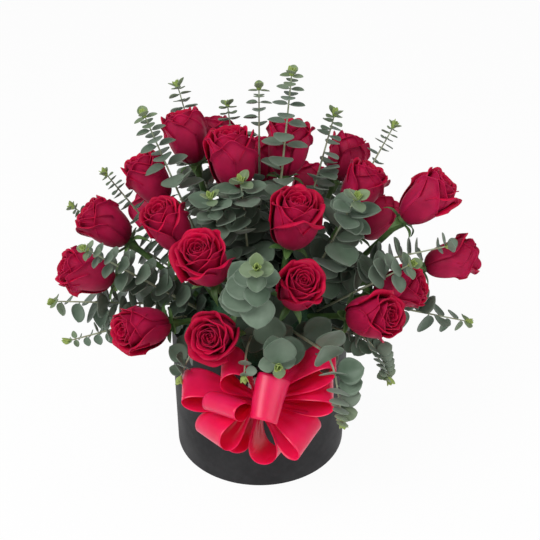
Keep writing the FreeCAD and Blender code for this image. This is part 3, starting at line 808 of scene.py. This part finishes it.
def is_free(points):
    """Whether a leaf's points are clear of the roses' travel, the foam, the box and the bow."""
    starts, ends, radii = (np.array(part) for part in zip(*ROSE_ROOM))
    run = ends - starts
    share = ((points[:, None] - starts) * run).sum(axis=2) / (run ** 2).sum(axis=1)
    spots = starts + run * np.clip(share, 0, 1)[..., None]
    gap = np.linalg.norm(points[:, None] - spots, axis=2) - radii
    if gap.min() < ROSE_GAP:
        return False
    level = np.hypot(points[:, 0], points[:, 1])
    height = points[:, 2]
    in_foam = (level < FOAM_RADIUS) & (height < FOAM_TOP) & (level + height < FOAM_SLOPE)
    in_bow = ((points > BOW_ROOM[0]) & (points < BOW_ROOM[1])).all(axis=1)
    return not (in_foam | in_bow | (height < RIM_HEIGHT + RIM_GAP)).any()


def fill_leaves(line, largest, middles, luck):
    """More leaves along a stem in the thick of the bunch, where they are free and not on another leaf."""
    spots, _ = resampled(line, FILL_STEP)
    ways = unit(np.gradient(spots, axis=0))
    leaves = []
    for step, (spot, way) in enumerate(zip(spots, ways)):
        if np.linalg.norm(spot - FILL_CENTRE) > FILL_REACH:
            continue
        first, second = square_axes(way)
        for half in range(2):
            size = largest * luck.uniform(0.85, 1.2)
            for attempt in range(FILL_TRIES):
                angle = (step + 2 * half) * math.pi / 2 + luck.uniform(-0.5, 0.5) + attempt * 0.35
                lean = luck.uniform(0.05, 0.7)
                outward = unit(first * math.cos(angle) + second * math.sin(angle) + way * lean)
                normal = unit(way - outward * np.dot(way, outward))
                beside = np.cross(normal, outward) * (0.45 * size)
                spine = spot + np.outer([0.3, 0.55, 0.8, 1.0], outward * size)
                points = np.concatenate([spine, spine[1:3] + beside, spine[1:3] - beside])
                middle = spot + outward * (size * 0.6)
                apart = np.linalg.norm(np.array(middles) - middle, axis=1).min()
                if apart > FILL_SPACING and is_free(points):
                    middles.append(middle)
                    leaves.append((spot, spot + outward * size, normal, 0.9 * size, 0.0))
                    break
    return leaves


def make_sprig(node, number, line, leaves, filling):
    """Stem, leaves and tip bud of one eucalyptus sprig."""
    luck = np.random.default_rng(SPRIG_SEED + number)
    faces = sheet_faces(LEAF_UP, LEAF_ACROSS)
    green = Surfaces()
    path, run = resampled(line, STEM_PITCH)
    radii = STEM_RADIUS + (STEM_TIP_RADIUS - STEM_RADIUS) * run ** 1.5
    points, tube_faces = tube(path, radii)
    green.add(points, tube_faces, (0.0, 0.0, 0.0), 1)
    for foot, tip, normal, breadth, youth in leaves:
        leaf = leaf_points(foot, tip, normal, breadth, luck)
        add_leaf(green, leaf, youth, luck.uniform(0, 1), faces)
    for foot, tip, normal, breadth, youth in filling:
        leaf = leaf_points(foot, tip, normal, breadth, luck)
        # Painted shade: leaves added in the thick of the bunch take a darker random tone than the CAD leaves.
        add_leaf(green, leaf, youth, luck.uniform(0.3, 1), faces)
    tip, way = line[-1], unit(line[-1] - line[-2])
    first, second = square_axes(way)
    for bud in range(TIP_BUDS):
        angle = bud * math.pi / 2 + (bud // 2) * 0.6
        spread = 0.75 - 0.11 * bud
        outward = unit(way + spread * (first * math.cos(angle) + second * math.sin(angle)))
        length = luck.uniform(5.0, 7.5) * MM
        bud_foot = tip - way * BUD_BACK
        leaf = leaf_points(bud_foot, tip + outward * length, way - outward * 0.6, 0.7 * length, luck)
        add_leaf(green, leaf, 1.0, 0.0, faces)
    piece = green.make(node + "_sprig", [LEAF, LEAF_STEM])
    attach(piece, "insert")
    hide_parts(node)


def make_sprigs():
    """All sprigs: the CAD leaves first, then more leaves in the thick of the bunch."""
    plans = {node: read_sprig(node) for node in SPRIGS}
    middles = [(leaf[0] + leaf[1]) / 2 for _, leaves, _ in plans.values() for leaf in leaves]
    luck = np.random.default_rng(FILL_SEED)
    for number, (node, (line, leaves, largest)) in enumerate(plans.items()):
        make_sprig(node, number, line, leaves, fill_leaves(line, largest, middles, luck))


# Bow

def loop_frame(angle, lift, twist, depth):
    """Foot of a ribbon loop at the tie, and its directions along, across the opening and over the width."""
    angle, lift, twist = (math.radians(value) for value in (angle, lift, twist))
    radial = np.array([math.cos(angle), 0.0, math.sin(angle)])
    front = np.array([0.0, -1.0, 0.0])
    along = radial * math.cos(lift) + front * math.sin(lift)
    level = front * math.cos(lift) - radial * math.sin(lift)
    width = level * math.cos(twist) + np.cross(level, along) * math.sin(twist)
    across = np.cross(width, along)
    stand_off = TIE_RADIUS + FOOT_HALF_WIDTH * abs(width @ radial) + FOOT_HALF_DEPTH * abs(across @ radial)
    foot = np.array([0.0, -BOW_WALL - depth * MM, BOW_HEIGHT]) + radial * stand_off
    return foot, along, across, width


def loop_points(row, luck):
    """Grid of points of one ribbon loop, a drop shape that is pleated at its foot."""
    angle, lift, length, opening, twist, depth = row
    foot, along, across, width = loop_frame(angle, lift, twist, depth)
    run = np.linspace(0, 1, RIBBON_ALONG)[:, None]
    side = np.linspace(-1, 1, RIBBON_ACROSS)[None, :]
    reach = length * MM * (1 - np.cos(2 * math.pi * run)) / 2
    bulge = np.sin(2 * math.pi * run) * np.sin(math.pi * run) ** DROP_POWER
    bulge = bulge / np.abs(bulge).max() * opening * MM / 2
    gather = np.clip(reach / (RIBBON_FULL_AT * length * MM), 0, 1)
    gather = gather * gather * (3 - 2 * gather)
    breadth = RIBBON_WIDTH / 2 * (GATHERED_SHARE + (1 - GATHERED_SHARE) * gather)
    flare = 1 + luck.uniform(-0.12, 0.12) * side * gather
    pleat = (1 - gather) * PLEAT_DEPTH * np.sin(2.5 * math.pi * side + luck.uniform(0, 6))
    cup = luck.uniform(-1, 1) * RIBBON_CUP * gather * side ** 2
    return (
        foot
        + along * (reach * (1 + luck.uniform(-0.03, 0.03) * side))[..., None]
        + across * (bulge * flare + pleat + cup)[..., None]
        + width * (breadth * side)[..., None]
    )


def make_bow():
    """Ribbon loops at the places of the CAD loops, and the knot that gathers them."""
    ribbon = Surfaces()
    luck = np.random.default_rng(BOW_SEED)
    faces = sheet_faces(RIBBON_ALONG, RIBBON_ACROSS)
    count = RIBBON_ALONG * RIBBON_ACROSS
    for row in LOOPS:
        grid = loop_points(row, luck)
        values = np.zeros((2 * count, 3))
        values[:, 1] = np.tile(np.linspace(-1, 1, RIBBON_ACROSS), 2 * RIBBON_ALONG)
        ribbon.add(thick_sheet(grid, RIBBON_THICKNESS), faces, values)
    piece = ribbon.make("bow_loops", [RIBBON])
    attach(piece, "box")
    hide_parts("ribbon_bow")
    knot = make_knot()


def make_knot():
    """Pleated ribbon wound round the feet of the loops."""
    low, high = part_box("bow_tie")
    middle = (np.array(low) + np.array(high)) / 2
    turn = np.linspace(0, 2 * math.pi, KNOT_SIDES, endpoint=False)
    rings = []
    for level, radius in zip(KNOT_LEVELS, KNOT_RADII):
        depth = np.full(KNOT_SIDES, high[1] + (low[1] - high[1]) * level)
        spoke = radius * (1 + 0.05 * np.sin(KNOT_PLEATS * turn + 2.5 * level))
        across = middle[0] + spoke * np.cos(turn)
        rise = middle[2] + spoke * np.sin(turn)
        rings.append(np.stack([across, depth, rise], axis=-1))
    faces = []
    for ring in range(len(KNOT_LEVELS) - 1):
        first = ring * KNOT_SIDES + np.arange(KNOT_SIDES)
        second = first + KNOT_SIDES
        faces.append(np.stack([first, np.roll(first, -1), np.roll(second, -1), second], axis=-1))
    knot = Surfaces()
    knot.add(np.concatenate(rings), np.concatenate(faces), (0.0, 0.0, 0.0))
    piece = knot.make("bow_knot", [RIBBON])
    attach(piece, "box")
    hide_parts("bow_tie")
    return piece


# Box and hidden pieces

def paint(node, material):
    """Gives a CAD node its material."""
    data = frame["nodes"][node].data
    data.materials.clear()
    data.materials.append(material)


JOINT_AXES = {joint["name"]: joint["axis"] for joint in frame["joints"]}
ROSES = sorted(node for node in frame["nodes"] if node.startswith("rose_"))
SPRIGS = sorted(node for node in frame["nodes"] if node.startswith("eucalyptus_"))
for number, node in enumerate(ROSES):
    make_rose(node, number)
make_sprigs()
make_bow()
for node, material in (
    ("box_tube", BOARD),
    ("box_base", BOARD),
    ("outer_wrap", PAPER),
    ("base_cover", PAPER),
    ("liner", LINER),
    ("foam", FOAM),
    ("bow_pad", PAD),
):
    paint(node, material)


# Floor, light and camera

def make_floor():
    """Wide pale floor that shows white to the camera but keeps a soft shadow."""
    mesh = bpy.data.meshes.new("floor")
    corners = [(x * FLOOR_REACH, y * FLOOR_REACH, 0) for x, y in ((-1, -1), (1, -1), (1, 1), (-1, 1))]
    mesh.from_pydata(corners, [], [(0, 1, 2, 3)])
    floor = bpy.data.objects.new("floor", mesh)
    bpy.context.scene.collection.objects.link(floor)
    material, tree, shader = new_material("floor", {"Base Color": (0.9, 0.9, 0.9, 1.0), "Roughness": 0.9})
    seen = add_node(tree, "ShaderNodeLightPath")
    white = add_node(tree, "ShaderNodeEmission", {"Color": (1.0, 1.0, 1.0, 1.0), "Strength": 1.0})
    direct = add_node(
        tree, "ShaderNodeMath", None,
        {0: seen.outputs["Is Camera Ray"], 1: seen.outputs["Is Glossy Ray"]}, operation="MAXIMUM",
    )
    share = add_node(tree, "ShaderNodeMath", {1: FLOOR_WHITE}, {0: direct.outputs[0]}, operation="MULTIPLY")
    mixed = add_node(
        tree, "ShaderNodeMixShader", None,
        {0: share.outputs[0], 1: shader.outputs["BSDF"], 2: white.outputs["Emission"]},
    )
    tree.links.new(mixed.outputs["Shader"], tree.nodes["Material Output"].inputs["Surface"])
    mesh.materials.append(material)


def make_world():
    """Soft white surroundings that show white to the camera."""
    world = bpy.data.worlds.new("studio")
    bpy.context.scene.world = world
    world.use_nodes = True
    tree = world.node_tree
    background = tree.nodes["Background"]
    seen = add_node(tree, "ShaderNodeLightPath")
    direct = add_node(
        tree, "ShaderNodeMath", None,
        {0: seen.outputs["Is Camera Ray"], 1: seen.outputs["Is Transmission Ray"]}, operation="MAXIMUM",
    )
    level = ramp(tree, direct.outputs[0], 0.0, 1.0, WORLD_LIGHT, 1.0)
    background.inputs["Color"].default_value = (1.0, 1.0, 1.0, 1.0)
    tree.links.new(level, background.inputs["Strength"])


def add_lamp(name, place, target, size, power):
    """Soft square lamp aimed at a point."""
    lamp = bpy.data.lights.new(name, "AREA")
    lamp.size = size
    lamp.energy = power
    holder = bpy.data.objects.new(name, lamp)
    bpy.context.scene.collection.objects.link(holder)
    holder.location = place
    away = unit(np.array(place) - np.array(target))
    across, other = square_axes(away)
    turn = Matrix(np.stack([across, other, away], axis=1).tolist())
    holder.matrix_world = Matrix.LocRotScale(Vector(place), turn, None)


def make_camera():
    """Camera at the photo's viewing angle."""
    data = bpy.data.cameras.new("camera")
    data.lens = CAMERA_LENS
    data.sensor_width = 36.0
    camera = bpy.data.objects.new("camera", data)
    bpy.context.scene.collection.objects.link(camera)
    camera.location = CAMERA_PLACE
    camera.rotation_euler = (CAMERA_TILT, 0, 0)
    bpy.context.scene.camera = camera


make_floor()
make_world()
add_lamp("key", (-0.9, -0.9, 1.5), LAMP_TARGET, 1.0, 22.0)
add_lamp("fill", (1.2, -1.0, 0.9), LAMP_TARGET, 1.2, 8.0)
make_camera()
bpy.context.scene.view_settings.view_transform = "Standard"
